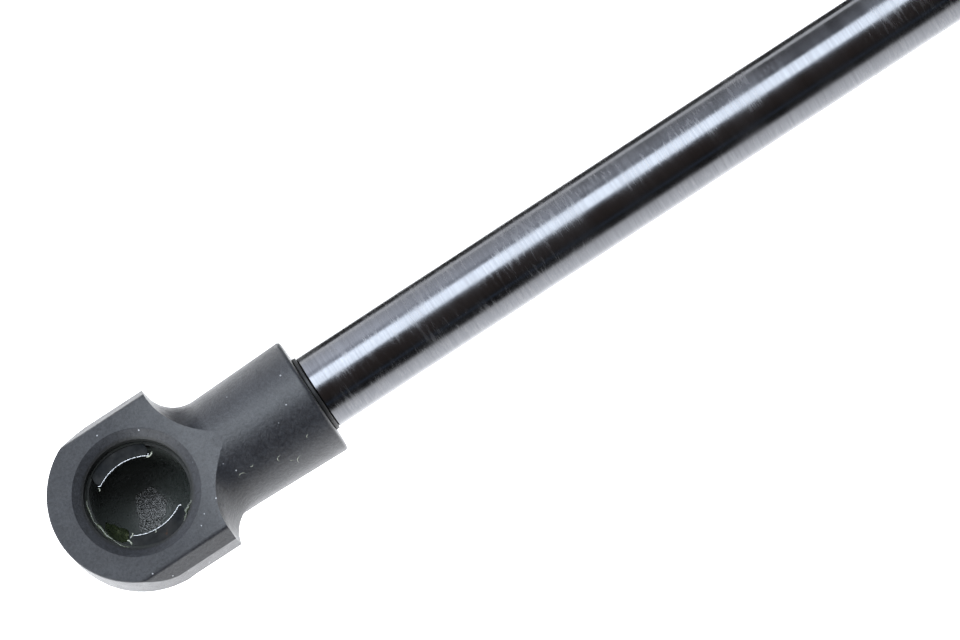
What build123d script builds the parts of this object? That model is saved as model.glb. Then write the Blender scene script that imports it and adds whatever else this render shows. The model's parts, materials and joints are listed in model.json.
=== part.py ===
from build123d import *
import math
import os

os.makedirs("parts", exist_ok=True)

# Gas strut stay with a plastic ball socket at each end, drawn with the rod fully out.
# Origin: ball centre of the rod-end socket. +X runs along the strut towards the tube end,
# +Z points out of both socket mouths, +Y completes the frame. Millimetres throughout.

# ---- strut layout along X ----
BALL_SPACING = 300.0
TUBE_LENGTH = 150.0
STROKE = 100.0
ROD_RADIUS = 4.0
ROD_CHAMFER = 0.15
RUNNING_GAP = 0.03

# ---- ball socket ----
BALL_SEAT_RADIUS = 5.05
MOUTH_RADIUS = 5.48
THROAT_RADIUS = 5.1
MOUTH_FLARE_RADIUS = 6.5
MOUTH_FLARE_DEPTH = 0.65
SEAT_RIM_Z = 0.4
THROAT_Z = 1.2
MOUTH_WALL_Z = 4.13
FACE_Z = 5.8
FLANGE_BOTTOM_Z = 0.7
FLANGE_NOSE_RADIUS = 9.05
FLANGE_HALF_WIDTH = 9.0
FLANGE_BACK_X = 5.75
BEVEL_FACE_HALF_WIDTH = 8.0
BEVEL_LOW_Z = 3.9
BEVEL_ROUND = 0.5
CUP_RADIUS = 7.2
CUP_BACK_Z = -6.6
CUP_BACK_ROUND = 2.5
EDGE_BREAK = 0.18

# ---- socket barrel ----
BARREL_END_X = 19.72
BARREL_END_RADIUS = 6.36
BARREL_NECK_RADIUS = 6.06
BARREL_END_ROUND = 0.4
NECK_FILLET = 3.5
CREST_BLEND_START_X = 7.2
CREST_BLEND_RADIUS = 14.0
NECK_START_X = 3.5

# ---- M6 connection between a socket and its stud ----
THREAD_RADIUS = 3.0
THREAD_ROOT_RADIUS = 2.45
THREAD_PITCH = 1.0
THREAD_TURNS = 8
THREAD_CREST_FLAT = 0.14
THREAD_HOLE_RADIUS = 3.02
THREAD_HOLE_END_X = 9.4
THREAD_DRILL_TIP_X = 7.7
THREAD_LEAD_IN = 0.3
STUD_TIP_X = 10.4
STUD_TIP_CHAMFER = 0.5
STUD_RELIEF_RADIUS = 2.35
SHOULDER_X = 20.15
WASHER_RADIUS = 4.15
WASHER_BORE_RADIUS = 3.05
WASHER_ROUND = 0.12

# ---- retaining clip of a socket ----
CLIP_WIDTH = 6.1
CLIP_THICKNESS = 0.7
CLIP_LEG_OUTER_Y = 7.1
CLIP_TOP_Z = 4.05
CLIP_BEND_OUTER = 1.7
CLIP_TOP_BEND_OUTER = 0.95
CLIP_TAB_GAP = 3.8
CLIP_TAB_ARC_RADIUS = 5.12
CLIP_TAB_ROOT_Y = 5.6
CLIP_TAB_CORNER = 0.45
CLIP_PLAY = 0.08
CLIP_POCKET_START_Y = 3.0
CLIP_SLOT_CORNER = 0.1

# ---- pressure tube ----
TUBE_RADIUS = 9.0
TUBE_WALL = 1.1
TUBE_LIP_ROUND = 2.2
TUBE_LIP_BORE = 4.9
BEAD_DEPTH = 0.7
BEAD_TOOL_RADIUS = 1.05

# ---- guide and seal pack, from the tube mouth inwards ----
GUIDE_LENGTH = 11.9
GUIDE_NOSE_CHAMFER = 1.25
WIPER_RADIUS = 6.0
WIPER_LENGTH = 2.1
WIPER_INSET = 0.1
WIPER_NOTCH_DEPTH = 0.6
WIPER_LIP_THICKNESS = 0.5
WIPER_HEEL_THICKNESS = 0.5
WIPER_NOTCH_STEP = 0.4
WIPER_LIP_LENGTH = 0.3
WIPER_RELIEF = 0.3
BUSH_RADIUS = 5.0
BUSH_LENGTH = 7.0
GUIDE_BEAD_X = 5.6
GUIDE_ORING_X = 10.0
SEAL_LENGTH = 5.0
SEAL_BACK_CLEARANCE = 0.6
SEAL_HEEL_THICKNESS = 1.1
SEAL_HEEL_ROOT = 1.7
SEAL_HOLLOW_START = 2.4
SEAL_LIP_ROOT = 1.2
SEAL_LIP_TIP = 0.5
SEAL_LIP_LENGTH = 0.6
SEAL_RELIEF_LENGTH = 1.6
SUPPORT_WASHER_THICKNESS = 1.2
ORING_SECTION_RADIUS = 0.7
ORING_GROOVE_HALF = 0.95
STATIC_GAP = 0.02
PACK_GAP = 0.05
GUIDE_ROD_CLEARANCE = 0.3
WASHER_ROD_CLEARANCE = 0.25

# ---- piston pack, behind the rod shoulder ----
BUFFER_LENGTH = 3.2
BUFFER_RADIUS = 6.6
BUFFER_REST_GAP = 0.3
BUFFER_ROUND = 0.6
SPIGOT_RADIUS = 2.5
STOP_WASHER_THICKNESS = 1.2
STOP_WASHER_RADIUS = 7.0
PISTON_LENGTH = 6.6
PISTON_RADIUS = 7.7
PISTON_RING_WIDTH = 2.0
PISTON_RING_PLAY = 0.3
PISTON_RING_INNER = 6.3
PISTON_GROOVE_RADIUS = 6.2
PISTON_NOTCH_COUNT = 4
PISTON_NOTCH_WIDTH = 1.6
PISTON_NOTCH_OVERLAP = 0.5
DISC_THICKNESS = 0.7
DISC_RADIUS = 6.9
DISC_NOTCH_HALF_WIDTH = 0.5
BACKING_THICKNESS = 1.2
BACKING_RADIUS = 6.0
RIVET_RADIUS = 3.6
RIVET_HEIGHT = 1.3

# ---- end plug ----
PLUG_START_GAP = 1.8
PLUG_BEAD_X = 4.4
PLUG_ORING_X = 9.0
PLUG_HUB_RADIUS = 4.85
PLUG_NOSE_CHAMFER = 0.6
PLUG_SHOULDER_GAP = 0.25

# ---- cutting tools: reach past the whole part, and past a single face ----
FAR = 30.0
OVERCUT = 1.0

# ---- stations along X worked out from the sizes above ----
TUBE_END_X = BALL_SPACING - SHOULDER_X - PLUG_SHOULDER_GAP
TUBE_MOUTH_X = TUBE_END_X - TUBE_LENGTH
TUBE_BORE = TUBE_RADIUS - TUBE_WALL
PACK_X = TUBE_MOUTH_X + TUBE_WALL + PACK_GAP
SEAL_X = PACK_X + GUIDE_LENGTH
SUPPORT_X = SEAL_X + SEAL_LENGTH
SUPPORT_END_X = SUPPORT_X + SUPPORT_WASHER_THICKNESS
BEAD_CENTRE_RADIUS = TUBE_RADIUS - BEAD_DEPTH + BEAD_TOOL_RADIUS
BEAD_INNER_TOOL = BEAD_TOOL_RADIUS + TUBE_WALL
BEAD_HALF_LENGTH = math.sqrt(BEAD_INNER_TOOL**2 - (BEAD_CENTRE_RADIUS - TUBE_BORE) ** 2)
RETAINING_BEAD_X = SUPPORT_END_X + BEAD_HALF_LENGTH
GUIDE_CRIMP_X = PACK_X + GUIDE_BEAD_X
BUFFER_X = SUPPORT_END_X + BUFFER_REST_GAP
ROD_STEP_X = BUFFER_X + BUFFER_LENGTH
PISTON_X = ROD_STEP_X + STOP_WASHER_THICKNESS
DISC_X = PISTON_X + PISTON_LENGTH
BACKING_X = DISC_X + DISC_THICKNESS
RIVET_X = BACKING_X + BACKING_THICKNESS
PLUG_X = RIVET_X + RIVET_HEIGHT + STROKE + PLUG_START_GAP
PLUG_END_X = TUBE_END_X - TUBE_WALL - PACK_GAP
PLUG_CRIMP_X = PLUG_X + PLUG_BEAD_X


def half_section(points):
    """Flat face through (x, radius) corners, half of a turned piece's section."""
    return make_face(Polyline(*points, close=True))


def turned(points):
    """Solid of revolution about the strut axis through (x, radius) corners."""
    return revolve(half_section(points), Axis.X)


def strip(x_start, x_end, inner, outer):
    """Rectangle of a half section between two stations and two radii."""
    corners = [(x_start, inner), (x_start, outer), (x_end, outer), (x_end, inner)]
    return half_section(corners)


def ring(x_start, x_end, inner, outer):
    """Plain ring on the strut axis."""
    return revolve(strip(x_start, x_end, inner, outer), Axis.X)


def torus_at(x, centre_radius, section_radius):
    """Torus around the strut axis."""
    return Pos(x, 0, 0) * Rot(0, 90, 0) * Torus(centre_radius, section_radius)


def box_between(low, high):
    """Axis-aligned box from its low corner to its high corner."""
    size = [b - a for a, b in zip(low, high)]
    middle = [(a + b) / 2 for a, b in zip(low, high)]
    return Pos(*middle) * Box(*size)


def thread_points(tip_x, shoulder_x):
    """Upper outline of an M6 stud whose ring grooves stand in for the thread."""
    points = [(tip_x, THREAD_RADIUS - STUD_TIP_CHAMFER)]
    for turn in range(THREAD_TURNS):
        crest = tip_x + STUD_TIP_CHAMFER + THREAD_PITCH * turn
        points.append((crest, THREAD_RADIUS))
        points.append((crest + THREAD_CREST_FLAT, THREAD_RADIUS))
        points.append((crest + (THREAD_PITCH + THREAD_CREST_FLAT) / 2, THREAD_ROOT_RADIUS))
    points.append((points[-1][0], STUD_RELIEF_RADIUS))
    points.append((shoulder_x, STUD_RELIEF_RADIUS))
    return points


def socket_flange():
    """Flat-sided plate around the mouth, round at the nose, with a bevel along each flat."""
    tail = Pos(FLANGE_BACK_X / 2, 0) * Rectangle(FLANGE_BACK_X, 2 * FLANGE_HALF_WIDTH)
    limit = Pos(FLANGE_BACK_X - FAR / 2, 0) * Rectangle(FAR, 2 * FLANGE_HALF_WIDTH)
    outline = (Circle(FLANGE_NOSE_RADIUS) + tail) & limit
    plate = extrude(Pos(0, 0, FLANGE_BOTTOM_Z) * outline, FACE_Z - FLANGE_BOTTOM_Z)
    slope = (FLANGE_HALF_WIDTH - BEVEL_FACE_HALF_WIDTH) / (FACE_Z - BEVEL_LOW_Z)
    top = FACE_Z + OVERCUT
    low = BEVEL_LOW_Z - OVERCUT
    wedge = Polyline(
        (BEVEL_FACE_HALF_WIDTH - slope * OVERCUT, top),
        (FLANGE_HALF_WIDTH + slope * OVERCUT, low),
        (FAR, low),
        (FAR, top),
        close=True,
    )
    bevel = extrude(Plane.YZ * make_face(wedge), FAR, both=True)
    plate -= bevel
    plate -= mirror(bevel, Plane.XZ)
    straight = plate.edges().filter_by(GeomType.LINE).filter_by(Axis.X)
    plate = fillet(straight.group_by(Axis.Z)[-1], BEVEL_ROUND)
    back = plate.faces().sort_by(Axis.X)[-1]
    soft = plate.faces().filter_by(GeomType.CYLINDER).sort_by(SortBy.AREA)[:2]
    kept_sharp = back.edges() + soft[0].edges() + soft[1].edges()
    rounded = [edge for edge in plate.edges() if edge not in kept_sharp]
    return fillet(rounded, EDGE_BREAK)


def socket_cup():
    """Round cup behind the flange that holds the ball, rounded at the back."""
    height = FLANGE_BOTTOM_Z + OVERCUT - CUP_BACK_Z
    cup = Pos(0, 0, CUP_BACK_Z + height / 2) * Cylinder(CUP_RADIUS, height)
    return fillet(cup.edges().sort_by(Axis.Z)[0], CUP_BACK_ROUND)


def socket_barrel():
    """Tapered round barrel with a concave neck that runs out into the flange."""
    neck_top = BARREL_NECK_RADIUS + NECK_FILLET
    end_x = FLANGE_BACK_X + NECK_FILLET
    knee = NECK_FILLET * math.sqrt(0.5)
    neck = ThreePointArc(
        (FLANGE_BACK_X, neck_top),
        (end_x - knee, neck_top - knee),
        (end_x, BARREL_NECK_RADIUS),
    )
    outline = Polyline(
        (end_x, BARREL_NECK_RADIUS),
        (BARREL_END_X, BARREL_END_RADIUS),
        (BARREL_END_X, 0),
        (FLANGE_BACK_X, 0),
        (FLANGE_BACK_X, neck_top),
    )
    barrel = revolve(make_face(neck + outline), Axis.X)
    rim = barrel.edges().filter_by(GeomType.CIRCLE).sort_by(Axis.X)[-1]
    barrel = fillet(rim, BARREL_END_ROUND)
    barrel -= box_between((0, -FAR, FACE_Z), (CREST_BLEND_START_X, FAR, FAR))
    blend = Pos(CREST_BLEND_START_X, 0, FACE_Z + CREST_BLEND_RADIUS) * Rot(90, 0, 0)
    barrel -= blend * Cylinder(CREST_BLEND_RADIUS, FAR)
    barrel -= box_between((0, FLANGE_HALF_WIDTH, -FAR), (FAR, FAR, FAR))
    barrel -= box_between((0, -FAR, -FAR), (FAR, -FLANGE_HALF_WIDTH, FAR))
    barrel -= box_between((0, -FAR, -FAR), (FAR, FAR, CUP_BACK_Z))
    flare = ring(0, end_x, BARREL_NECK_RADIUS, FAR)
    barrel -= flare & box_between((0, -FAR, -FAR), (FAR, FAR, FLANGE_BOTTOM_Z))
    root = ring(NECK_START_X, FLANGE_BACK_X, 0, BARREL_NECK_RADIUS)
    return barrel + (root & box_between((0, -FAR, -FAR), (FAR, FAR, FLANGE_BOTTOM_Z)))


def socket_mouth():
    """Ball seat, entry bore and flared mouth, as one solid to cut away."""
    seat = CenterArc((0, 0), BALL_SEAT_RADIUS, -90, 90)
    flare_slope = (MOUTH_FLARE_RADIUS - MOUTH_RADIUS) / MOUTH_FLARE_DEPTH
    wall = Polyline(
        (BALL_SEAT_RADIUS, 0),
        (BALL_SEAT_RADIUS, SEAT_RIM_Z),
        (THROAT_RADIUS, THROAT_Z),
        (THROAT_RADIUS, MOUTH_WALL_Z),
        (MOUTH_RADIUS, MOUTH_WALL_Z),
        (MOUTH_RADIUS, FACE_Z - MOUTH_FLARE_DEPTH),
        (MOUTH_FLARE_RADIUS + flare_slope * OVERCUT, FACE_Z + OVERCUT),
        (0, FACE_Z + OVERCUT),
        (0, -BALL_SEAT_RADIUS),
    )
    return revolve(Plane.XZ * make_face(seat + wall), Axis.Z)


def clip_profile(outer_y, bottom_z, top_z, bottom_round, top_round):
    """Rounded rectangle in the YZ plane, the envelope of the clip's strap."""
    height = top_z - bottom_z
    shape = Pos(0, bottom_z + height / 2) * Rectangle(2 * outer_y, height)
    shape = fillet(shape.vertices().sort_by(Axis.Y)[:2], bottom_round)
    return fillet(shape.vertices().sort_by(Axis.Y)[-2:], top_round)


def clip_room():
    """Recess, leg slots and tab pockets that the clip sits in, as a solid to cut away."""
    half = CLIP_WIDTH / 2 + CLIP_PLAY
    inner_y = CLIP_LEG_OUTER_Y - CLIP_THICKNESS - CLIP_PLAY
    outer_y = CLIP_LEG_OUTER_Y + CLIP_PLAY
    floor_z = CUP_BACK_Z + CLIP_THICKNESS + CLIP_PLAY
    top_z = CLIP_TOP_Z + CLIP_PLAY
    inner_round = CLIP_BEND_OUTER - CLIP_THICKNESS
    kept = clip_profile(inner_y, floor_z, FACE_Z, inner_round, CLIP_SLOT_CORNER)
    room = box_between((-half, -FAR, -FAR), (half, FAR, FLANGE_BOTTOM_Z))
    room -= extrude(Plane.YZ * kept, half + OVERCUT, both=True)
    for side in (-1, 1):
        near, far = sorted((side * inner_y, side * outer_y))
        room += box_between((-half, near, FLANGE_BOTTOM_Z - OVERCUT), (half, far, top_z))
        near, far = sorted((side * CLIP_POCKET_START_Y, side * outer_y))
        pocket_low = CLIP_TOP_Z - CLIP_THICKNESS - CLIP_PLAY
        room += box_between((-half, near, pocket_low), (half, far, top_z))
    return room


def thread_hole():
    """Threaded hole of a socket, drilled in from the barrel's end face."""
    return turned(
        [
            (THREAD_DRILL_TIP_X, 0),
            (THREAD_HOLE_END_X, THREAD_HOLE_RADIUS),
            (BARREL_END_X - THREAD_LEAD_IN, THREAD_HOLE_RADIUS),
            (BARREL_END_X + THREAD_LEAD_IN, THREAD_HOLE_RADIUS + 2 * THREAD_LEAD_IN),
            (BARREL_END_X + THREAD_LEAD_IN, 0),
        ]
    )


def ball_socket():
    """Socket with its ball centre at the origin and its barrel along +X."""
    body = socket_flange() + socket_cup() + socket_barrel()
    body -= socket_mouth()
    body -= clip_room()
    body -= thread_hole()
    return body


def socket_clip():
    """Spring-steel strap round the cup whose two tabs close over the ball."""
    outer = clip_profile(
        CLIP_LEG_OUTER_Y, CUP_BACK_Z, CLIP_TOP_Z, CLIP_BEND_OUTER, CLIP_TOP_BEND_OUTER
    )
    inner = clip_profile(
        CLIP_LEG_OUTER_Y - CLIP_THICKNESS,
        CUP_BACK_Z + CLIP_THICKNESS,
        CLIP_TOP_Z - CLIP_THICKNESS,
        CLIP_BEND_OUTER - CLIP_THICKNESS,
        CLIP_TOP_BEND_OUTER - CLIP_THICKNESS,
    )
    opening = Pos(0, CLIP_TOP_Z) * Rectangle(2 * CLIP_TAB_ROOT_Y, 4 * CLIP_THICKNESS)
    strap = extrude(Plane.YZ * (outer - inner - opening), CLIP_WIDTH / 2, both=True)
    arc_offset = CLIP_TAB_ARC_RADIUS - CLIP_TAB_GAP
    throat = Pos(0, arc_offset) * Circle(CLIP_TAB_ARC_RADIUS)
    throat &= Pos(0, -arc_offset) * Circle(CLIP_TAB_ARC_RADIUS)
    tab = Pos(0, CLIP_TAB_ROOT_Y / 2) * Rectangle(CLIP_WIDTH, CLIP_TAB_ROOT_Y)
    tab -= throat
    tab = fillet(tab.vertices().sort_by(Axis.Y)[:2], CLIP_TAB_CORNER)
    tab = extrude(Pos(0, 0, CLIP_TOP_Z - CLIP_THICKNESS) * tab, CLIP_THICKNESS)
    return strap + tab + mirror(tab, Plane.XZ)


def stud_washer():
    """Thin black ring between a socket's barrel and the shoulder of its stud."""
    washer = ring(BARREL_END_X, SHOULDER_X, WASHER_BORE_RADIUS, WASHER_RADIUS)
    rims = washer.edges().filter_by(GeomType.CIRCLE).sort_by(SortBy.RADIUS)[-2:]
    return fillet(rims, WASHER_ROUND)


def at_tube_end(piece):
    """The same piece turned round onto the tube end, mouth still up."""
    return Pos(BALL_SPACING, 0, 0) * Rot(0, 0, 180) * piece


def piston_rod():
    """Ground rod: M6 stud outside, shouldered spigot and peened head inside."""
    points = thread_points(STUD_TIP_X, SHOULDER_X)
    points = [(STUD_TIP_X, 0)] + points
    points += [
        (SHOULDER_X, ROD_RADIUS - ROD_CHAMFER),
        (SHOULDER_X + ROD_CHAMFER, ROD_RADIUS),
        (ROD_STEP_X, ROD_RADIUS),
        (ROD_STEP_X, SPIGOT_RADIUS),
        (RIVET_X, SPIGOT_RADIUS),
        (RIVET_X, RIVET_RADIUS),
        (RIVET_X + RIVET_HEIGHT / 2, RIVET_RADIUS),
        (RIVET_X + RIVET_HEIGHT, RIVET_RADIUS / 2),
        (RIVET_X + RIVET_HEIGHT, 0),
    ]
    return turned(points)


def bead_circle(x, radius):
    """Circle of a rolling tool's edge in the half section, standing over the tube wall."""
    return Pos(x, BEAD_CENTRE_RADIUS) * Circle(radius)


def bead_clearance(x):
    """Hollow in an inner part's half section that the tube's rolled bead sits in."""
    return bead_circle(x, BEAD_INNER_TOOL + STATIC_GAP)


def tube_outline(wall, radius, corner):
    """Half section of a round-cornered cylinder set in from both tube ends by wall."""
    start = TUBE_MOUTH_X + wall
    end = TUBE_END_X - wall
    outline = strip(start, end, 0, radius)
    return fillet(outline.vertices().group_by(Axis.Y)[-1], corner)


def pressure_tube():
    """Steel tube with both ends rolled in and three crimp beads."""
    section = tube_outline(0, TUBE_RADIUS, TUBE_LIP_ROUND)
    section -= tube_outline(TUBE_WALL, TUBE_BORE, TUBE_LIP_ROUND - TUBE_WALL)
    section -= strip(TUBE_MOUTH_X - OVERCUT, TUBE_END_X + OVERCUT, 0, TUBE_LIP_BORE)
    for x in (GUIDE_CRIMP_X, RETAINING_BEAD_X, PLUG_CRIMP_X):
        reach = BEAD_INNER_TOOL + OVERCUT
        ridge_zone = strip(x - reach, x + reach, PISTON_GROOVE_RADIUS, TUBE_RADIUS - TUBE_WALL / 2)
        section += bead_circle(x, BEAD_INNER_TOOL) & ridge_zone
        section -= bead_circle(x, BEAD_TOOL_RADIUS)
    return revolve(section, Axis.X)


def wiper_ring():
    """Wiper in the guide's nose with its lip turned out towards the rod."""
    face = PACK_X + WIPER_INSET
    back = PACK_X + WIPER_LENGTH
    lip = ROD_RADIUS + RUNNING_GAP
    relief_start = face + WIPER_LIP_LENGTH + WIPER_NOTCH_STEP
    return turned(
        [
            (face, lip),
            (face, lip + WIPER_LIP_THICKNESS),
            (face + WIPER_NOTCH_DEPTH, WIPER_RADIUS - WIPER_HEEL_THICKNESS - WIPER_NOTCH_STEP),
            (face, WIPER_RADIUS - WIPER_HEEL_THICKNESS),
            (face, WIPER_RADIUS),
            (back, WIPER_RADIUS),
            (back, lip + WIPER_RELIEF),
            (relief_start, lip + WIPER_RELIEF),
            (face + WIPER_LIP_LENGTH, lip),
        ]
    )


def front_guide():
    """Guide body behind the tube's lip: wiper recess, bush bore, O-ring groove."""
    outer = TUBE_BORE - STATIC_GAP
    section = half_section(
        [
            (PACK_X, WIPER_RADIUS),
            (PACK_X, outer - GUIDE_NOSE_CHAMFER),
            (PACK_X + GUIDE_NOSE_CHAMFER, outer),
            (SEAL_X, outer),
            (SEAL_X, BUSH_RADIUS),
            (SEAL_X - BUSH_LENGTH, BUSH_RADIUS),
            (SEAL_X - BUSH_LENGTH, ROD_RADIUS + GUIDE_ROD_CLEARANCE),
            (PACK_X + WIPER_LENGTH, ROD_RADIUS + GUIDE_ROD_CLEARANCE),
            (PACK_X + WIPER_LENGTH, WIPER_RADIUS),
        ]
    )
    section -= bead_clearance(GUIDE_CRIMP_X)
    section -= oring_groove(PACK_X + GUIDE_ORING_X)
    return revolve(section, Axis.X)


def oring_groove(x):
    """Half section of the square groove for a static O-ring against the tube bore."""
    floor_radius = TUBE_BORE - 2 * ORING_SECTION_RADIUS - PACK_GAP
    half = ORING_GROOVE_HALF
    return strip(x - half, x + half, floor_radius, TUBE_BORE + OVERCUT)


def oring(x):
    """Static O-ring lying against the tube bore."""
    return torus_at(x, TUBE_BORE - ORING_SECTION_RADIUS - STATIC_GAP / 2, ORING_SECTION_RADIUS)


def guide_bush():
    """Plain bearing bush that the rod runs in."""
    return ring(SEAL_X - BUSH_LENGTH, SEAL_X, ROD_RADIUS + RUNNING_GAP, BUSH_RADIUS)


def rod_seal():
    """Lip seal: outer heel on the tube, inner lip on the rod, open to the pressure."""
    outer = TUBE_BORE - STATIC_GAP
    lip = ROD_RADIUS + RUNNING_GAP
    hollow_x = SEAL_X + SEAL_HOLLOW_START
    tip_x = SUPPORT_X - SEAL_LIP_TIP
    return turned(
        [
            (SEAL_X, lip + SEAL_BACK_CLEARANCE),
            (SEAL_X, outer),
            (SUPPORT_X, outer),
            (SUPPORT_X, outer - SEAL_HEEL_THICKNESS),
            (hollow_x, outer - SEAL_HEEL_ROOT),
            (hollow_x, lip + SEAL_LIP_ROOT),
            (tip_x, lip + SEAL_LIP_TIP),
            (tip_x, lip),
            (tip_x - SEAL_LIP_LENGTH, lip),
            (SEAL_X + SEAL_RELIEF_LENGTH, lip + SEAL_BACK_CLEARANCE),
        ]
    )


def seal_support_washer():
    """Steel washer that the retaining bead holds against the seal."""
    inner = ROD_RADIUS + WASHER_ROD_CLEARANCE
    return ring(SUPPORT_X, SUPPORT_END_X, inner, TUBE_BORE - PACK_GAP)


def rebound_buffer():
    """Soft ring on the rod that meets the support washer when the rod is fully out."""
    buffer = ring(BUFFER_X, ROD_STEP_X, ROD_RADIUS, BUFFER_RADIUS)
    rims = buffer.edges().filter_by(GeomType.CIRCLE).sort_by(SortBy.RADIUS)[-2:]
    return fillet(rims, BUFFER_ROUND)


def stop_washer():
    """Steel washer between the rod's shoulder and the piston."""
    return ring(ROD_STEP_X, PISTON_X, SPIGOT_RADIUS, STOP_WASHER_RADIUS)


def piston():
    """Piston with a wide ring groove and flow notches in its rear land."""
    body = ring(PISTON_X, DISC_X, SPIGOT_RADIUS, PISTON_RADIUS)
    middle = (PISTON_X + DISC_X) / 2
    half = PISTON_RING_WIDTH / 2 + PISTON_RING_PLAY
    body -= ring(middle - half, middle + half, PISTON_GROOVE_RADIUS, PISTON_RADIUS + OVERCUT)
    notch = box_between(
        (middle + half - PISTON_NOTCH_OVERLAP, -PISTON_NOTCH_WIDTH / 2, PISTON_GROOVE_RADIUS),
        (DISC_X + OVERCUT, PISTON_NOTCH_WIDTH / 2, PISTON_RADIUS + OVERCUT),
    )
    for index in range(PISTON_NOTCH_COUNT):
        body -= Rot(360 / PISTON_NOTCH_COUNT * index, 0, 0) * notch
    return body


def piston_ring():
    """Ring that floats in the piston's groove and slides on the tube bore."""
    middle = (PISTON_X + DISC_X) / 2
    half = PISTON_RING_WIDTH / 2
    return ring(middle - half, middle + half, PISTON_RING_INNER, TUBE_BORE - RUNNING_GAP)


def damping_disc():
    """Thin disc behind the piston with one small bleed notch."""
    disc = ring(DISC_X, BACKING_X, SPIGOT_RADIUS, DISC_RADIUS)
    notch = box_between(
        (DISC_X - OVERCUT, -DISC_NOTCH_HALF_WIDTH, PISTON_GROOVE_RADIUS),
        (BACKING_X + OVERCUT, DISC_NOTCH_HALF_WIDTH, FAR),
    )
    return disc - notch


def piston_backing_washer():
    """Steel washer under the rod's peened head."""
    return ring(BACKING_X, RIVET_X, SPIGOT_RADIUS, BACKING_RADIUS)


def end_plug():
    """Plug rolled into the closed end, with the stud for the tube-end socket."""
    outer = TUBE_BORE - STATIC_GAP
    shoulder = BALL_SPACING - SHOULDER_X
    stud = [(BALL_SPACING - x, r) for x, r in thread_points(STUD_TIP_X, SHOULDER_X)]
    points = [
        (PLUG_X, 0),
        (PLUG_X, outer - PLUG_NOSE_CHAMFER),
        (PLUG_X + PLUG_NOSE_CHAMFER, outer),
        (PLUG_END_X - GUIDE_NOSE_CHAMFER, outer),
        (PLUG_END_X, outer - GUIDE_NOSE_CHAMFER),
        (PLUG_END_X, PLUG_HUB_RADIUS),
        (shoulder, PLUG_HUB_RADIUS),
    ]
    points += list(reversed(stud))
    points.append((BALL_SPACING - STUD_TIP_X, 0))
    section = half_section(points)
    section -= bead_clearance(PLUG_CRIMP_X)
    section -= oring_groove(PLUG_X + PLUG_ORING_X)
    return revolve(section, Axis.X)


def save(node, piece):
    """Write one node's solid to its STEP file."""
    export_step(piece, os.path.join("parts", node + ".step"))


save("rod_socket", ball_socket())
save("rod_socket_clip", socket_clip())
save("rod_washer", stud_washer())
save("piston_rod", piston_rod())
save("pressure_tube", pressure_tube())
save("wiper_ring", wiper_ring())
save("front_guide", front_guide())
save("guide_bush", guide_bush())
save("guide_oring", oring(PACK_X + GUIDE_ORING_X))
save("rod_seal", rod_seal())
save("seal_support_washer", seal_support_washer())
save("rebound_buffer", rebound_buffer())
save("stop_washer", stop_washer())
save("piston", piston())
save("piston_ring", piston_ring())
save("damping_disc", damping_disc())
save("piston_backing_washer", piston_backing_washer())
save("end_plug", end_plug())
save("plug_oring", oring(PLUG_X + PLUG_ORING_X))
save("tube_socket", at_tube_end(ball_socket()))
save("tube_socket_clip", at_tube_end(socket_clip()))
save("tube_washer", at_tube_end(stud_washer()))
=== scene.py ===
import json
import math

import bmesh
import bpy
from mathutils import Matrix, Vector


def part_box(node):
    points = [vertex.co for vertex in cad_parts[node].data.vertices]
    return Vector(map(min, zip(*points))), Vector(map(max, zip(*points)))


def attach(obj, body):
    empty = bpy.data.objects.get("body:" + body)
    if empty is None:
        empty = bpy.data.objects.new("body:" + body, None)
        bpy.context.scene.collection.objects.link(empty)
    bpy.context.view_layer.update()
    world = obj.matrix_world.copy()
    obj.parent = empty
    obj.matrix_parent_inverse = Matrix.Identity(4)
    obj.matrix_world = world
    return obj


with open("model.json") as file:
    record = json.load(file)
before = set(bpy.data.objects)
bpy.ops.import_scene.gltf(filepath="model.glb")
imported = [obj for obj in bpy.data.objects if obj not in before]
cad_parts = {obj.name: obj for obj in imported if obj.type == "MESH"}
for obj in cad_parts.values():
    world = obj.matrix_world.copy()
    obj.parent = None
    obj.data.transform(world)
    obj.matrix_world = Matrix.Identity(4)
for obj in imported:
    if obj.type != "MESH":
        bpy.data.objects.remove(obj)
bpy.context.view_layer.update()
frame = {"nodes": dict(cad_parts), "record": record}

MM = 0.001
BALL_ROD_X = 0.0
BALL_TUBE_X = frame["record"]["mounts"][1]["pos_m"][0]
scene = bpy.context.scene
scene.view_settings.view_transform = "Standard"

# ---------------------------------------------------------------- sizes inside a ball socket
# Heights are counted from the ball's centre towards the mouth, and reaches from the mouth's axis.
HEAD_NOSE_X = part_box("rod_socket")[0][0]
HEAD_TOP_Z = 5.8 * MM                   # flat face; the barrel beyond stands higher
CLIP_TOP_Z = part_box("rod_socket_clip")[1][2]
FACE_Z = HEAD_TOP_Z - 0.05 * MM         # just under the flat face
GREASE_TOP_Z = HEAD_TOP_Z - 0.6 * MM
FLARE_Z = HEAD_TOP_Z - 0.7 * MM         # just under the mouth's flare
LEDGE_Z = CLIP_TOP_Z + 0.08 * MM        # ledge inside the mouth, just above the clip's tabs
LEDGE_LOW_Z = CLIP_TOP_Z - 0.45 * MM    # everything above this is ledge, entry wall or flare
SEAT_FLOOR = 5.035 * MM                 # ball seat, less a hair for the grease to lie on
SEAT_REACH = 5.3 * MM                   # ball seat, counted from the ball's centre
CUP_REACH = 5.5 * MM
RIM_SHADE_REACH = (5.62 * MM, 5.78 * MM)      # outer edge of the painted shade round the opening
FLARE_REACH = 6.5 * MM
HEAD_REACH = 0.55 * MM - HEAD_NOSE_X    # round the head's nose, with room to spare
HEAD_FADE = (1.0 * MM, 7 * MM)          # from the head's middle towards its barrel
TAB_ARC_RADIUS = 5.12 * MM              # curved end of a clip tab
TAB_ARC_SETBACK = 1.32 * MM             # how far the arc's centre lies beyond the ball's centre
BARREL_START_X = 9.25 * MM
BARREL_START_RADIUS = 6.06 * MM
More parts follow.
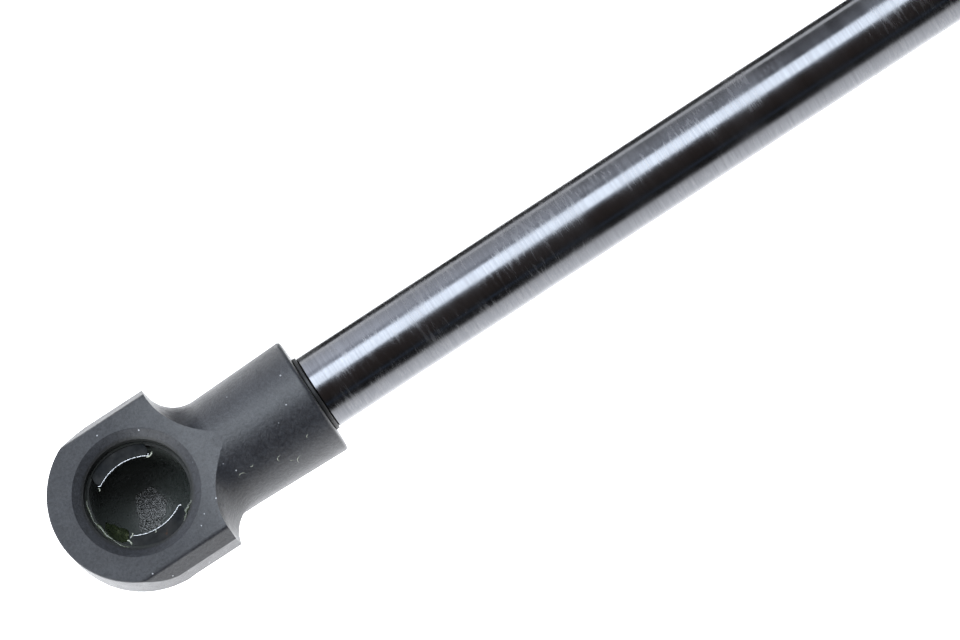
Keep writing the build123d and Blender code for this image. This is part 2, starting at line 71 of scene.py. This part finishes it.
BARREL_TAPER = 0.0287                   # growth in radius along the barrel

# ---------------------------------------------------------------- camera
STRUT_SLOPE = math.radians(33.16)   # how the strut climbs to the right in the picture
TILT = math.radians(15.2)           # how far the camera leans off the socket mouth, towards -Y
FIELD_WIDTH = 95.05 * MM            # what the picture spans at the strut
SENSOR_WIDTH = 36
CAMERA_DISTANCE = 0.8
AIM = (32.95 * MM, 18.2 * MM)       # picture centre, right and up of the ball centre

along = Vector((1, 0, 0))
toward = Vector((0, -math.sin(TILT), math.cos(TILT)))
across = toward.cross(along)
right = along * math.cos(STRUT_SLOPE) - across * math.sin(STRUT_SLOPE)
up = along * math.sin(STRUT_SLOPE) + across * math.cos(STRUT_SLOPE)

camera_data = bpy.data.cameras.new("camera")
camera_data.type = "PERSP"
camera_data.sensor_width = SENSOR_WIDTH
camera_data.lens = SENSOR_WIDTH * CAMERA_DISTANCE / FIELD_WIDTH
camera_data.clip_start = 0.01
camera_data.clip_end = 50
camera = bpy.data.objects.new("camera", camera_data)
scene.collection.objects.link(camera)
camera.location = right * AIM[0] + up * AIM[1] + toward * CAMERA_DISTANCE
camera.rotation_mode = "QUATERNION"
camera.rotation_quaternion = Matrix((right, up, toward)).transposed().to_quaternion()
scene.camera = camera


def ring_direction(angle):
    """Direction square to the strut's axis, counted in radians from toward, round to -Y."""
    return toward * math.cos(angle) - across * math.sin(angle)


# ---------------------------------------------------------------- materials
def ramp_of(nodes, stops, start=0.0, end=1.0):
    """Colour ramp node with stops at places counted from start to end."""
    made = nodes.new("ShaderNodeValToRGB")
    elements = made.color_ramp.elements
    while len(elements) < len(stops):
        elements.new(0.5)
    for element, (place, colour) in zip(elements, stops):
        element.position = (place - start) / (end - start)
        element.color = (*colour, 1)
    return made


COLOUR_A, COLOUR_B, COLOUR_RESULT = 6, 7, 2     # a Mix node's own numbers for its colour sockets


class Shader:
    """A material's node tree with a Principled shader, and short calls to build on it."""

    def __init__(self, name, **settings):
        self.material = bpy.data.materials.new(name)
        self.material.use_nodes = True
        self.tree = self.material.node_tree
        self.bsdf = self.tree.nodes["Principled BSDF"]
        for socket, value in settings.items():
            self.bsdf.inputs[socket.replace("_", " ")].default_value = value
        self.place = self.node("ShaderNodeTexCoord").outputs["Object"]

    def node(self, kind, **values):
        made = self.tree.nodes.new(kind)
        for key, value in values.items():
            setattr(made, key, value)
        return made

    def plug(self, socket, value):
        if isinstance(value, bpy.types.NodeSocket):
            self.tree.links.new(value, socket)
        else:
            socket.default_value = value

    def feed(self, made, **inputs):
        for key, value in inputs.items():
            self.plug(made.inputs[key.replace("_", " ")], value)

    def math(self, operation, first, second=0.0):
        made = self.node("ShaderNodeMath", operation=operation)
        self.plug(made.inputs[0], first)
        self.plug(made.inputs[1], second)
        return made.outputs[0]

    def add(self, first, second):
        return self.math("ADD", first, second)

    def times(self, first, second):
        return self.math("MULTIPLY", first, second)

    def either(self, first, second):
        return self.math("MAXIMUM", first, second)

    def above(self, value, limit):
        return self.math("GREATER_THAN", value, limit)

    def below(self, value, limit):
        return self.math("LESS_THAN", value, limit)

    def length(self, first, second):
        squares = self.add(self.math("POWER", first, 2.0), self.math("POWER", second, 2.0))
        return self.math("SQRT", squares)

    def stretch(self, scale):
        mapping = self.node("ShaderNodeMapping")
        self.feed(mapping, Vector=self.place, Scale=scale)
        return mapping.outputs[0]

    def noise(self, scale, detail=4.0, rough=0.6, where=None):
        made = self.node("ShaderNodeTexNoise")
        self.feed(made, Vector=where or self.place, Scale=scale, Detail=detail, Roughness=rough)
        return made.outputs["Fac"]

    def ramp(self, source, *stops):
        made = ramp_of(self.tree.nodes, stops)
        self.plug(made.inputs[0], source)
        return made.outputs[0]

    def band(self, source, low, high, out_low=0.0, out_high=1.0):
        made = self.node("ShaderNodeMapRange")
        self.feed(made, Value=source, From_Min=low, From_Max=high, To_Min=out_low, To_Max=out_high)
        return made.outputs[0]

    def mix(self, factor, first, second):
        made = self.node("ShaderNodeMix", data_type="RGBA")
        self.plug(made.inputs["Factor"], factor)
        self.plug(made.inputs[COLOUR_A], first)
        self.plug(made.inputs[COLOUR_B], (*second, 1))
        return made.outputs[COLOUR_RESULT]

    def bump(self, height, strength, distance, normal=None):
        made = self.node("ShaderNodeBump")
        self.feed(made, Height=height, Strength=strength, Distance=distance)
        if normal is not None:
            self.plug(made.inputs["Normal"], normal)
        return made.outputs[0]

    def set(self, **inputs):
        self.feed(self.bsdf, **inputs)
        return self.material


def socket_masks(s):
    """Masks of a ball socket's zones: greasy cup, painted shade round the opening, ledge, flare and
    flat face.
    """
    parts = s.node("ShaderNodeSeparateXYZ")
    s.feed(parts, Vector=s.place)
    x, y, z = parts.outputs["X"], parts.outputs["Y"], parts.outputs["Z"]
    inside, head, mouth, rim_shade = 0.0, 0.0, 0.0, 0.0
    seat = s.above(z, 0.0)
    for centre, side in ((BALL_ROD_X, 1), (BALL_TUBE_X, -1)):
        offset = s.math("SUBTRACT", x, centre)
        reach = s.length(offset, y)
        inside = s.either(inside, s.below(reach, CUP_REACH))
        mouth = s.either(mouth, s.below(reach, FLARE_REACH))
        # Painted shade round the opening, full inside the first reach and gone at the second
        rim_shade = s.either(rim_shade, s.band(reach, *RIM_SHADE_REACH, 1.0, 0.0))
        seat = s.either(seat, s.below(s.length(reach, z), SEAT_REACH))
        away = s.band(s.times(offset, side), *HEAD_FADE, 1.0, 0.0)
        head = s.either(head, s.times(s.below(reach, HEAD_REACH), away))
    ledge = s.above(z, LEDGE_LOW_Z)
    return {
        "greasy": s.times(s.times(inside, s.below(z, GREASE_TOP_Z)), seat),
        # rim: painted shade on the ledge and the walls above it, round the opening
        "rim": s.times(rim_shade, ledge),
        "ledge": ledge,
        "flare": s.times(mouth, s.above(z, FLARE_Z)),
        "face": s.times(head, s.above(z, FACE_Z)),
    }


def socket_plastic():
    """Glass-filled nylon: matte slate grey, fine moulded grain, dust specks, greasy ball cups,
    painted shade round the mouth.
    """
    s = Shader("socket_plastic", IOR=1.5)
    grain = s.noise(3300, 3, 0.8)
    tone = s.add(s.times(s.noise(240, 3), 0.25), s.times(grain, 0.75))
    colour = s.ramp(tone, (0.36, (0.003, 0.0035, 0.0055)), (0.62, (0.02, 0.022, 0.027)))
    cells = s.node("ShaderNodeTexVoronoi")
    s.feed(cells, Vector=s.place, Scale=640.0, Randomness=1.0)
    dust = s.times(s.below(cells.outputs["Distance"], 0.05), s.above(s.noise(420, 2, 0.5), 0.45))
    colour = s.mix(dust, colour, (0.3, 0.31, 0.33))

    zone = socket_masks(s)
    greasy = zone["greasy"]
    smear = s.noise(1.0, 4, 0.7, s.stretch((500, 1400, 700)))
    colour = s.mix(greasy, colour, (0.05, 0.057, 0.053))
    # Painted shade: the rim round each opening is darkened almost to black
    colour = s.mix(s.times(zone["rim"], 0.85), colour, (0.002, 0.0025, 0.0022))
    slick = s.add(s.band(smear, 0.3, 0.7, 0.2, 0.42), s.times(zone["ledge"], 0.45))
    dry = s.add(s.band(s.noise(900, 3), 0.3, 0.7, 0.35, 0.43), s.times(zone["face"], 0.24))
    dry = s.add(dry, s.times(zone["flare"], 0.14))
    rough = s.add(s.times(dry, s.math("SUBTRACT", 1.0, greasy)), s.times(slick, greasy))
    normal = s.bump(grain, 0.9, 0.00006)
    normal = s.bump(s.times(smear, greasy), 0.4, 0.00015, normal)
    return s.set(Base_Color=colour, Roughness=rough, Normal=normal)


def rod_chrome():
    """Ground, nitrided and polished rod: fine grinding marks in patches run round it."""
    s = Shader("rod_nitrided", Metallic=1.0)
    marks = s.noise(1.0, 4, 0.75, s.stretch((4200, 90, 90)))
    broad = s.noise(1.0, 3, 0.6, s.stretch((260, 120, 120)))
    patch = s.band(s.noise(1.0, 3, 0.6, s.stretch((70, 210, 210))), 0.42, 0.58)
    scuffs = s.noise(1.0, 3, 0.7, s.stretch((2600, 500, 500)))
    worn = s.times(patch, s.band(scuffs, 0.5, 0.62))
    colour = s.ramp(marks, (0.32, (0.117, 0.12, 0.13)), (0.68, (0.15, 0.154, 0.165)))
    colour = s.mix(s.times(worn, 0.4), colour, (0.2, 0.202, 0.21))
    rough = s.add(s.band(broad, 0.3, 0.7, 0.165, 0.265), s.times(worn, 0.1))
    normal = s.bump(marks, 0.035, 0.00001)
    return s.set(Base_Color=colour, Roughness=rough, Normal=normal)


def tube_paint():
    """Satin black enamel with slight orange peel."""
    s = Shader("tube_paint", IOR=1.5)
    peel = s.noise(900, 2)
    colour = s.ramp(s.noise(60, 4), (0.3, (0.010, 0.010, 0.011)), (0.7, (0.017, 0.017, 0.018)))
    rough = s.band(s.noise(140, 4), 0.3, 0.7, 0.2, 0.32)
    return s.set(Base_Color=colour, Roughness=rough, Normal=s.bump(peel, 0.15, 0.0001))


def blued_steel():
    """Oil-blackened spring steel with a brown cast and a few rust specks."""
    s = Shader("blued_steel", Metallic=1.0)
    cloud = s.noise(420, 4)
    colour = s.ramp(cloud, (0.3, (0.004, 0.0045, 0.005)), (0.66, (0.009, 0.009, 0.009)),
                    (0.78, (0.05, 0.022, 0.01)))
    rough = s.band(s.noise(1500, 3), 0.3, 0.7, 0.25, 0.45)
    return s.set(Base_Color=colour, Roughness=rough, Normal=s.bump(cloud, 0.2, 0.00005))


def soft_black():
    """Black rubber with a fine skin."""
    s = Shader("soft_black", IOR=1.5)
    colour = s.ramp(s.noise(800, 3), (0.3, (0.010, 0.010, 0.011)), (0.7, (0.022, 0.022, 0.023)))
    return s.set(Base_Color=colour, Roughness=s.band(s.noise(500), 0.3, 0.7, 0.35, 0.55))


def turned(name, low, high, metallic=1.0):
    """Turned or cut metal or plastic with tool marks around the strut axis."""
    s = Shader(name, Metallic=metallic)
    marks = s.noise(1.0, 3, 0.6, s.stretch((6000, 260, 260)))
    colour = s.ramp(marks, (0.3, low), (0.7, high))
    rough = s.band(s.noise(300), 0.3, 0.7, 0.25, 0.42)
    return s.set(Base_Color=colour, Roughness=rough, Normal=s.bump(marks, 0.2, 0.00003))


def dress(material, *nodes):
    """Gives CAD nodes their finished material."""
    for name in nodes:
        data = frame["nodes"][name].data
        data.materials.clear()
        data.materials.append(material)


dress(socket_plastic(), "rod_socket", "tube_socket")
dress(rod_chrome(), "piston_rod")
dress(tube_paint(), "pressure_tube")
dress(blued_steel(), "rod_socket_clip", "tube_socket_clip")
dress(soft_black(), "rod_washer", "tube_washer", "wiper_ring", "guide_oring", "rod_seal",
      "rebound_buffer", "plug_oring")
dress(turned("inner_steel", (0.34, 0.34, 0.36), (0.5, 0.5, 0.52)), "seal_support_washer",
      "stop_washer", "damping_disc", "piston_backing_washer", "end_plug")
dress(turned("piston_metal", (0.5, 0.5, 0.52), (0.62, 0.62, 0.64)), "piston")
dress(turned("bush_bronze", (0.42, 0.27, 0.12), (0.55, 0.38, 0.19)), "guide_bush")
dress(turned("guide_acetal", (0.6, 0.57, 0.5), (0.7, 0.67, 0.6), 0.0), "front_guide")
dress(turned("ring_plastic", (0.05, 0.09, 0.07), (0.09, 0.14, 0.11), 0.0), "piston_ring")


# ---------------------------------------------------------------- pieces made here
TAB_CORNER = 0.32 * MM
BURR_RADIUS = 0.045 * MM
BURR_SINK = 0.015 * MM
BURR_CURL = 0.3 * MM
BURR_STEPS = 40

# Curled nicks: mm along the strut, degrees round it as in ring_direction, mm radius of the curl,
# and the degrees of its start and sweep.
NICKS = (
    (9.6, 29, 0.42, 200, 150), (13.7, 34, 0.34, 120, 170), (15.4, 48, 0.5, 150, 140),
    (14.6, 41, 0.26, 60, 120), (10.9, 23, 0.2, 20, 130), (17.2, 30, 0.22, 170, 110),
)
NICK_RADIUS = 0.032 * MM
NICK_STEPS = 16

# Dabs of grease by the clip's tabs: mm along and across from the ball's centre, degrees the dab
# points, mm length and mm radius before it tapers.
DABS = {
    "corner_1": (3.0, 2.86, 10, 0.9, 0.1),
    "corner_2": (-3.2, -3.45, 100, 0.8, 0.09),
    "corner_3": (-2.7, -3.0, 30, 0.5, 0.07),
    "corner_4": (-0.5, -3.95, 60, 0.35, 0.06),
    "corner_5": (-3.0, 2.75, 80, 0.4, 0.06),
}
DAB_RISE = 0.02 * MM
DAB_BEND = 0.9
DAB_FLATTEN = 0.5
DAB_STEPS = 18

BEAD_WANDER = 0.12 * MM
BEAD_RIPPLE = 0.05 * MM
BEAD_LEAST_RADIUS = 0.02 * MM
BEAD_STEPS_PER_DEGREE = 0.6
BEAD_LEAST_STEPS = 24
BEAD_SIDES = 12

# Beads on a socket's ledge, grease except the ring, which is a flat black band of painted shade:
# degrees from and to, mm from the mouth's axis, mm above LEDGE_Z, mm radius before the lumps,
# and the bead's rise as a share of its width.
# The first bead is the black ring of painted shade, all round the ledge
SHADE_RING_BEAD = (0, 359, 5.42, 0.01, 0.2, 0.12)
LEDGE_BEAD = (150, 228, 5.27, 0.03, 0.12, 0.5)
END_BEAD = (-64, -38, 5.24, 0.03, 0.13, 0.5)

# Films of grease in a ball seat: lean of the film's middle along X and Y for one unit down, its
# half spreads in radians, and the bearing of the first spread.
FLOOR_FILM = ((-0.05, 0.12), (0.5, 0.3), math.radians(122))
WALL_FILM = ((-1.9, -0.1), (0.34, 0.26), 0.0)
FILM_THICKNESS = 0.07 * MM
FILM_RINGS = 26
FILM_SPOKES = 72


def finish_piece(name, mesh, material, body):
    """Turns mesh data into a smooth piece that rides on a body."""
    for polygon in mesh.polygons:
        polygon.use_smooth = True
    mesh.materials.append(material)
    made = bpy.data.objects.new(name, mesh)
    scene.collection.objects.link(made)
    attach(made, body)


def add_piece(name, vertices, faces, material, body):
    """Makes a smooth piece from vertices and faces."""
    mesh = bpy.data.meshes.new(name)
    mesh.from_pydata([tuple(v) for v in vertices], [], faces)
    finish_piece(name, mesh, material, body)


def strand(points, radii, flatten=1.0, sides=10):
    """Vertices and faces of a closed round strand along points, thinner where radii say."""
    vertices, faces = [], []
    for index, (point, radius) in enumerate(zip(points, radii)):
        ahead = points[min(index + 1, len(points) - 1)] - points[max(index - 1, 0)]
        ahead.normalize()
        side = ahead.cross(Vector((0, 0, 1))).normalized()
        rise = side.cross(ahead)
        for step in range(sides):
            turn = 2 * math.pi * step / sides
            vertices.append(point + side * radius * math.cos(turn)
                            + rise * radius * flatten * math.sin(turn))
    for index in range(len(points) - 1):
        for step in range(sides):
            after = (step + 1) % sides
            low, high = index * sides, (index + 1) * sides
            faces.append((low + step, low + after, high + after, high + step))
    faces.append(tuple(reversed(range(sides))))
    faces.append(tuple(range(len(vertices) - sides, len(vertices))))
    return vertices, faces


def bright_edge():
    """Bare steel where the clip was sheared."""
    s = Shader("bright_edge", Metallic=1.0)
    colour = s.ramp(s.noise(2600, 3), (0.35, (0.35, 0.36, 0.37)), (0.65, (0.8, 0.82, 0.85)))
    return s.set(Base_Color=colour, Roughness=s.band(s.noise(3000), 0.3, 0.7, 0.2, 0.4))


def curled(tip, lean, side):
    """Points that carry a burr from its tip round the corner of a tab."""
    corners = []
    for turn in (0.35, 0.75, 1.1):
        out = Vector((lean * math.sin(turn), side * (1 - math.cos(turn)), 0))
        corners.append(tip + out * BURR_CURL)
    return corners


def tab_edges(socket, centre_x, body, material):
    """Thin bright burr along the curved edge of each clip tab."""
    low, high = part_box(socket + "_clip")
    reach = (high[0] - low[0]) / 2 - TAB_CORNER
    height = high[2] - BURR_SINK
    for label, side in (("left", 1), ("right", -1)):
        points = []
        for step in range(BURR_STEPS + 1):
            x = (2 * step / BURR_STEPS - 1) * reach
            y = math.sqrt(TAB_ARC_RADIUS ** 2 - x * x) - TAB_ARC_SETBACK
            points.append(Vector((centre_x + x, side * y, height)))
        points = curled(points[0], -1, side)[::-1] + points + curled(points[-1], 1, side)
        radii = [BURR_RADIUS * (1 + 0.25 * math.sin(1.7 * index)) for index in range(len(points))]
        vertices, faces = strand(points, radii)
        add_piece(f"{socket}_tab_edge_{label}", vertices, faces, material, body)


def grease():
    """Old mounting grease, dark green and shiny."""
    s = Shader("grease", IOR=1.47)
    s.bsdf.inputs["Transmission Weight"].default_value = 0.35
    lump = s.noise(900, 4)
    colour = s.ramp(lump, (0.3, (0.012, 0.02, 0.008)), (0.6, (0.05, 0.065, 0.03)),
                    (0.75, (0.16, 0.18, 0.1)))
    return s.set(Base_Color=colour, Roughness=s.band(lump, 0.3, 0.7, 0.12, 0.3),
                 Normal=s.bump(s.noise(2600, 3), 0.4, 0.0001))


def grease_film():
    """Thin old grease pressed into a fine sparkling skin."""
    s = Shader("grease_film", IOR=1.9)
    skin = s.noise(5200, 2, 0.6)
    cover = s.noise(1.0, 4, 0.65, s.stretch((700, 420, 600)))
    colour = s.ramp(cover, (0.35, (0.008, 0.01, 0.009)), (0.65, (0.018, 0.021, 0.018)))
    return s.set(Base_Color=colour, Roughness=s.band(cover, 0.42, 0.58, 0.1, 0.26),
                 Normal=s.bump(skin, 1.0, 0.00014))


def shade_ring_black():
    """Flat matte black for the ring on the ledge: painted shade that darkens the mouth."""
    s = Shader("painted_shade_black", IOR=1.3)
    lump = s.noise(1500, 3)
    colour = s.ramp(lump, (0.3, (0.004, 0.005, 0.0045)), (0.7, (0.012, 0.014, 0.012)))
    return s.set(Base_Color=colour, Roughness=s.band(lump, 0.3, 0.7, 0.5, 0.7))


def pale_grease():
    """Whipped-up grease left at the corners of the clip's tabs."""
    s = Shader("grease_pale", IOR=1.47)
    lump = s.noise(3000, 3)
    colour = s.ramp(lump, (0.35, (0.05, 0.06, 0.045)), (0.65, (0.42, 0.44, 0.36)))
    return s.set(Base_Color=colour, Roughness=s.band(lump, 0.3, 0.7, 0.25, 0.45),
                 Normal=s.bump(lump, 0.6, 0.0001))


def smudge(name, place, body, material, bearing, length, size):
    """Short tapering dab of grease lying flat at a place."""
    points, radii = [], []
    for step in range(DAB_STEPS + 1):
        share = step / DAB_STEPS
        turn = math.radians(bearing) + DAB_BEND * (share - 0.5)
        reach = length * MM * (share - 0.5)
        points.append(place + Vector((math.cos(turn), math.sin(turn), 0)) * reach)
        swell = math.sin(math.pi * share) ** 0.6 * (1 + 0.3 * math.sin(9 * share))
        radii.append(size * MM * max(0.12, swell))
    vertices, faces = strand(points, radii, DAB_FLATTEN)
    add_piece(name, vertices, faces, material, body)


def barrel_nicks(material):
    """Small curled burrs where something has caught the rod socket's barrel."""
    for index, (x, degrees, radius, start, sweep) in enumerate(NICKS):
        points, radii = [], []
        for step in range(NICK_STEPS + 1):
            share = step / NICK_STEPS
            turn = math.radians(start + sweep * share)
            at_x = (x + radius * math.cos(turn)) * MM
            skin = BARREL_START_RADIUS + (at_x - BARREL_START_X) * BARREL_TAPER
            angle = math.radians(degrees) + radius * MM * math.sin(turn) / skin
            points.append(along * at_x + ring_direction(angle) * skin)
            radii.append(NICK_RADIUS * max(0.2, math.sin(math.pi * share)))
        vertices, faces = strand(points, radii)
        add_piece(f"rod_socket_nick_{index}", vertices, faces, material, "rod")


def ledge_strand(name, centre_x, body, material, start, end, reach, rise, size, flatten):
    """Uneven bead on the ledge under a socket's mouth; grease beads and the black ring of painted
    shade are made with it.
    """
    points, radii = [], []
    steps = max(BEAD_LEAST_STEPS, int((end - start) * BEAD_STEPS_PER_DEGREE))
    for step in range(steps + 1):
        share = step / steps
        turn = math.radians(start + (end - start) * share)
        wander = (math.sin(7 * share + 1) - 1) * BEAD_WANDER + math.sin(23 * share) * BEAD_RIPPLE
        out = reach * MM + wander
        points.append(Vector((centre_x + out * math.cos(turn), out * math.sin(turn),
                              LEDGE_Z + rise * MM)))
        fade = math.sin(math.pi * share) ** 0.4
        lumps = 1 + 0.35 * math.sin(13 * share + 0.6) + 0.2 * math.sin(31 * share)
        radii.append(max(BEAD_LEAST_RADIUS, size * MM * fade * lumps))
    vertices, faces = strand(points, radii, flatten, BEAD_SIDES)
    add_piece(name, vertices, faces, material, body)


def fan(mesh, outer, inner, flip):
    """Faces between two rows of vertices, or from a row to a single vertex."""
    for step in range(FILM_SPOKES):
        after = (step + 1) % FILM_SPOKES
        if isinstance(inner, list):
            face = (outer[step], outer[after], inner[after], inner[step])
        else:
            face = (outer[step], outer[after], inner)
        mesh.faces.new(tuple(reversed(face)) if flip else face)


def seat_film(name, centre_x, body, material, lean, spread, bearing):
    """Thin rucked film of grease in a ball seat, closed all round its edge."""
    axis = Vector((lean[0], lean[1], -1)).normalized()
    side = axis.cross(Vector((0, 1, 0))).normalized()
    other = axis.cross(side)
    turns = [2 * math.pi * step / FILM_SPOKES for step in range(FILM_SPOKES)]
    mesh = bmesh.new()

    def lay(share, turn, thick):
        edge = 1 + 0.12 * math.sin(3 * turn + 1) + 0.07 * math.sin(7 * turn + 2)
        oval = math.hypot(math.cos(turn - bearing) / spread[0],
                          math.sin(turn - bearing) / spread[1])
        polar = share * edge / oval
        way = (axis * math.cos(polar)
               + (side * math.cos(turn) + other * math.sin(turn)) * math.sin(polar))
        broad, fine = math.sin(9 * way.x + 13 * way.y), math.sin(31 * way.x - 17 * way.y)
        depth = thick * FILM_THICKNESS * (0.6 + 0.3 * broad + 0.1 * fine) * (1 - share ** 4)
        return mesh.verts.new(Vector((centre_x, 0, 0)) + way * (SEAT_FLOOR - depth))

    rim = [lay(1, turn, 0) for turn in turns]
    for thick in (1, 0):
        outer = rim
        for step in range(1, FILM_RINGS):
            inner = [lay(1 - step / FILM_RINGS, turn, thick) for turn in turns]
            fan(mesh, outer, inner, not thick)
            outer = inner
        fan(mesh, outer, lay(0, 0, thick), not thick)
    bmesh.ops.recalc_face_normals(mesh, faces=mesh.faces)
    data = bpy.data.meshes.new(name)
    mesh.to_mesh(data)
    mesh.free()
    finish_piece(name, data, material, body)


def socket_details(socket, centre_x, body, facing):
    """Burrs, grease and the painted shade ring of one ball socket."""
    tab_edges(socket, centre_x, body, edge_steel)
    for label, (x, y, bearing, length, size) in DABS.items():
        place = Vector((centre_x + x * MM, facing * y * MM, CLIP_TOP_Z + DAB_RISE))
        smudge(f"{socket}_grease_{label}", place, body, pale, bearing, length, size)
    # Black ring all round the ledge: painted shade, not grease
    ledge_strand(socket + "_painted_shade_ring", centre_x, body, shade_black, *SHADE_RING_BEAD)
    ledge_strand(socket + "_grease_ledge", centre_x, body, old_grease, *LEDGE_BEAD)
    ledge_strand(socket + "_grease_end", centre_x, body, old_grease, *END_BEAD)
    seat_film(socket + "_grease_seat", centre_x, body, film, *FLOOR_FILM)
    seat_film(socket + "_grease_wall", centre_x, body, old_grease, *WALL_FILM)


edge_steel, old_grease, film = bright_edge(), grease(), grease_film()
shade_black, pale = shade_ring_black(), pale_grease()
barrel_nicks(pale)
socket_details("rod_socket", BALL_ROD_X, "rod", 1)
socket_details("tube_socket", BALL_TUBE_X, "cylinder", -1)


# ---------------------------------------------------------------- floor and light
FLOOR_SIZE = 24
FLOOR_Z = -0.12
LIT_SPOT = Vector((50 * MM, 0, 0))
FLAG_X = (17 * MM, 200 * MM)
FLAG_Y = 60 * MM
FLAG_Z = (-60 * MM, -12 * MM)

# Surroundings by degrees round the strut's axis, counted as in ring_direction. Negative degrees
# are the strut's upper side in the picture.
RING_COLOURS = (
    (-180, (1.5, 1.5, 1.5)), (-100, (0.94, 0.97, 1.04)), (-66, (1.3, 1.36, 1.5)),
    (-56, (0.62, 0.66, 0.76)), (-11, (0.44, 0.47, 0.53)), (-6, (0.12, 0.09, 0.08)),
    (30, (0.09, 0.07, 0.062)), (41, (0.03, 0.03, 0.03)), (44, (0.2, 0.28, 0.42)),
    (47, (0.03, 0.03, 0.03)), (66, (0.03, 0.03, 0.03)), (75, (2.0, 2.0, 2.0)),
    (180, (2.4, 2.4, 2.4)),
)
# Strength on the upper side, by how far a direction leans along the strut.
FADE_LEVELS = ((-0.2, 1.9), (-0.09, 2.1), (-0.05, 4.2), (-0.025, 3.6), (0.0, 0.2), (0.06, 0.05))
FADE_REACH = 0.2
UPPER_SIDE_ANGLE = -0.6
BACKDROP_COLOUR = (0.93, 0.94, 0.95, 1)


def floor():
    """Plain pale floor well below the strut."""
    s = Shader("floor_white", Roughness=0.9)
    s.set(Base_Color=s.ramp(s.noise(3), (0.3, (0.5, 0.5, 0.51)), (0.7, (0.52, 0.52, 0.53))))
    s.bsdf.inputs["Emission Color"].default_value = (1, 1, 1, 1)
    s.bsdf.inputs["Emission Strength"].default_value = 1.9
    middle = ((BALL_ROD_X + BALL_TUBE_X) / 2, 0, FLOOR_Z)
    bpy.ops.mesh.primitive_grid_add(x_subdivisions=4, y_subdivisions=4, size=FLOOR_SIZE,
                                    location=middle)
    plane = bpy.context.object
    plane.name = "floor"
    plane.data.materials.append(s.material)


def softbox(name, direction, distance, width, height, watts, colour):
    """Area light that faces the rod from a direction."""
    data = bpy.data.lights.new(name, "AREA")
    data.shape = "RECTANGLE"
    data.size, data.size_y = width, height
    data.energy = watts
    data.color = colour
    lamp = bpy.data.objects.new(name, data)
    scene.collection.objects.link(lamp)
    out = direction.normalized()
    lamp.location = LIT_SPOT + out * distance
    lamp.rotation_mode = "QUATERNION"
    lamp.rotation_quaternion = out.to_track_quat("Z", "Y")
    lamp.visible_camera = False


def studio_world():
    """Soft surroundings: dark above, grey to the upper side, pale to the lower side."""
    world = bpy.data.worlds.new("studio")
    scene.world = world
    world.use_nodes = True
    nodes, links = world.node_tree.nodes, world.node_tree.links
    direction = nodes.new("ShaderNodeTexCoord").outputs["Generated"]

    def dot(axis):
        made = nodes.new("ShaderNodeVectorMath")
        made.operation = "DOT_PRODUCT"
        links.new(direction, made.inputs[0])
        made.inputs[1].default_value = axis
        return made.outputs["Value"]

    def ramp_over(value, limit, stops):
        spread = nodes.new("ShaderNodeMapRange")
        spread.inputs["From Min"].default_value = -limit
        spread.inputs["From Max"].default_value = limit
        links.new(value, spread.inputs["Value"])
        made = ramp_of(nodes, stops, -limit, limit)
        links.new(spread.outputs[0], made.inputs[0])
        return made.outputs[0]

    angle = nodes.new("ShaderNodeMath")
    angle.operation = "ARCTAN2"
    links.new(dot(-across), angle.inputs[0])
    links.new(dot(toward), angle.inputs[1])
    around = [(math.radians(degrees), colour) for degrees, colour in RING_COLOURS]
    colour = ramp_over(angle.outputs[0], math.pi, around)
    fade = ramp_over(dot(along), FADE_REACH, [(place, (level,) * 3) for place, level in FADE_LEVELS])

    upper_side = nodes.new("ShaderNodeMath")
    upper_side.operation = "LESS_THAN"
    upper_side.inputs[1].default_value = UPPER_SIDE_ANGLE
    links.new(angle.outputs[0], upper_side.inputs[0])
    level = nodes.new("ShaderNodeMix")
    level.inputs["A"].default_value = 1.0
    links.new(upper_side.outputs[0], level.inputs["Factor"])
    links.new(fade, level.inputs["B"])

    lit = nodes["Background"]
    links.new(colour, lit.inputs["Color"])
    links.new(level.outputs[0], lit.inputs["Strength"])
    backdrop = nodes.new("ShaderNodeBackground")
    backdrop.inputs["Color"].default_value = BACKDROP_COLOUR
    blend = nodes.new("ShaderNodeMixShader")
    links.new(nodes.new("ShaderNodeLightPath").outputs["Is Camera Ray"], blend.inputs[0])
    links.new(lit.outputs[0], blend.inputs[1])
    links.new(backdrop.outputs[0], blend.inputs[2])
    links.new(blend.outputs[0], nodes["World Output"].inputs["Surface"])


def flag():
    """Black card beside the strut that only reflections show: the rod's dark upper edge."""
    s = Shader("flag_black", Roughness=0.9)
    s.set(Base_Color=s.ramp(s.noise(5), (0.3, (0.01, 0.01, 0.01)), (0.7, (0.012, 0.012, 0.012))))
    (start, end), (low, high) = FLAG_X, FLAG_Z
    corners = [(start, FLAG_Y, low), (end, FLAG_Y, low), (end, FLAG_Y, high), (start, FLAG_Y, high)]
    mesh = bpy.data.meshes.new("flag")
    mesh.from_pydata(corners, [], [(0, 1, 2, 3)])
    mesh.materials.append(s.material)
    card = bpy.data.objects.new("flag", mesh)
    scene.collection.objects.link(card)
    card.visible_camera = False
    card.visible_diffuse = False
    card.visible_shadow = False


floor()
flag()
softbox("key", ring_direction(math.radians(-32)), distance=0.55, width=0.8, height=0.33,
        watts=4.9, colour=(0.86, 0.93, 1.0))
softbox("side", Vector((-0.84, -0.4, 0.3)), distance=0.6, width=0.4, height=0.4,
        watts=4.2, colour=(0.94, 0.97, 1.0))
studio_world()
